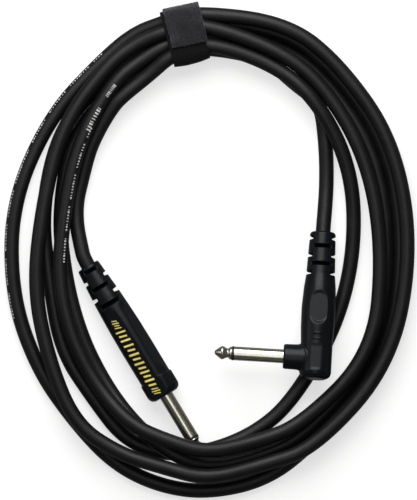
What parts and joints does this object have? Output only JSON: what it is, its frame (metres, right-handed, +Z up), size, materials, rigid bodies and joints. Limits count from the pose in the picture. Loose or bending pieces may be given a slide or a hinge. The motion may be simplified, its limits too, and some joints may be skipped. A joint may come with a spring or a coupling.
{
  "type": "instrument cable",
  "caption": "Black instrument cable, coiled and held by a hook-and-loop tie, with a straight plug at one end and a right-angle plug at the other.",
  "frame": {"origin": "middle of the coil's outline on the table that it lies on", "axes": "+Z up from the table, +Y towards the tie, +X towards the side where the right-angle plug lies"},
  "size_m": [0.1882, 0.2294, 0.0234],
  "materials": {
    "jacket": "soft matte",
    "tie": "napped loop pile",
    "plug_body": "satin moulded",
    "inner_mould": "as moulded",
    "pin_metal": "bright nickel plating",
    "insulator": "satin",
    "lug_metal": "tinned",
    "core_insulation": "satin",
    "wire_metal": "bare stranded copper"
  },
  "bodies": {
    "root": {"cable_jacket": "jacket", "tie_band": "tie", "tie_flap": "tie", "straight_body": "plug_body", "straight_inner_mould": "inner_mould", "straight_sleeve": "pin_metal", "straight_tip": "pin_metal", "straight_insulator": "insulator", "straight_washer": "insulator", "straight_tip_lug": "lug_metal", "straight_sleeve_lug": "lug_metal", "straight_core": "core_insulation", "straight_conductor": "wire_metal", "straight_shield": "wire_metal", "angle_body": "plug_body", "angle_inner_mould": "inner_mould", "angle_sleeve": "pin_metal", "angle_tip": "pin_metal", "angle_insulator": "insulator", "angle_washer": "insulator", "angle_tip_lug": "lug_metal", "angle_sleeve_lug": "lug_metal", "angle_core": "core_insulation", "angle_conductor": "wire_metal", "angle_shield": "wire_metal"}
  },
  "joints": []
}
